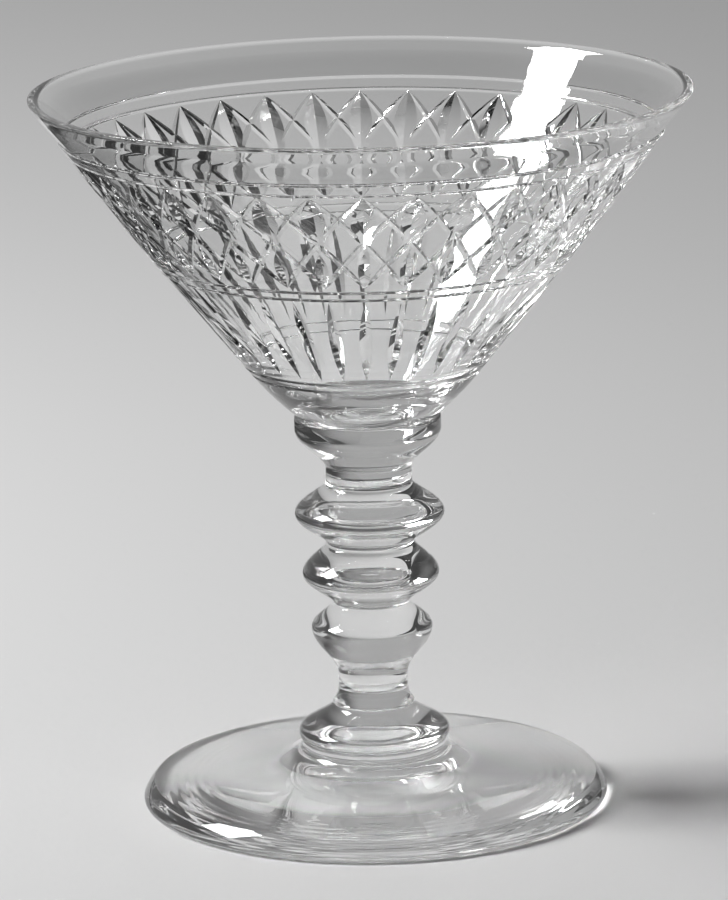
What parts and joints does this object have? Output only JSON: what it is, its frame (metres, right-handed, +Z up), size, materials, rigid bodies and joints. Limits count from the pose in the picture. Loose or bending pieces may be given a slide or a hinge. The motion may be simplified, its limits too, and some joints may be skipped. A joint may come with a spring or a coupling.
{
  "type": "sherbet glass",
  "caption": "Stemmed sherbet glass in clear glass: a wide conical bowl with turned rings, a cut lattice and upright cuts, on a knopped stem and a broad round foot.",
  "frame": {"origin": "centre of the foot's underside, on the table", "axes": "+Z up along the axis of the glass; X and Y level, with one line of cuts on +X"},
  "size_m": [0.1086, 0.1086, 0.12],
  "materials": {
    "clear_glass": "clear colourless glass, fire-polished smooth",
    "cut_glass": "clear colourless glass with polished wheel cuts"
  },
  "bodies": {
    "root": {"foot": "clear_glass", "foot_dome": "clear_glass", "lower_knop": "clear_glass", "middle_knop": "clear_glass", "upper_knop": "clear_glass", "bowl_collar": "clear_glass", "bowl": "cut_glass"}
  },
  "joints": []
}
